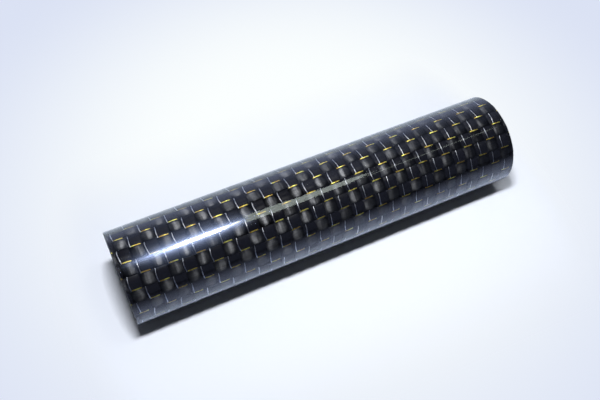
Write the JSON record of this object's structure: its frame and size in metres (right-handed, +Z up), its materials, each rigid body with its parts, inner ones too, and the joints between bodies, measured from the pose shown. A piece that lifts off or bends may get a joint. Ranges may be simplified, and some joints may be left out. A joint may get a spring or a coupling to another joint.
{
  "type": "carbon fibre tube",
  "caption": "Short straight round tube of plain-woven carbon fibre with metallic tracer threads under clear gloss resin, open through and sawn square at both ends.",
  "frame": {"origin": "on the floor under the middle of the tube, where it rests on its side", "axes": "+X along the tube, +Z up"},
  "size_m": [0.066, 0.015, 0.015],
  "materials": {
    "woven_laminate": "plain-woven carbon fibre with gold and silver metallic tracer threads under clear high-gloss epoxy; matte bore and sawn ends"
  },
  "bodies": {
    "root": {"tube": "woven_laminate"}
  },
  "joints": []
}
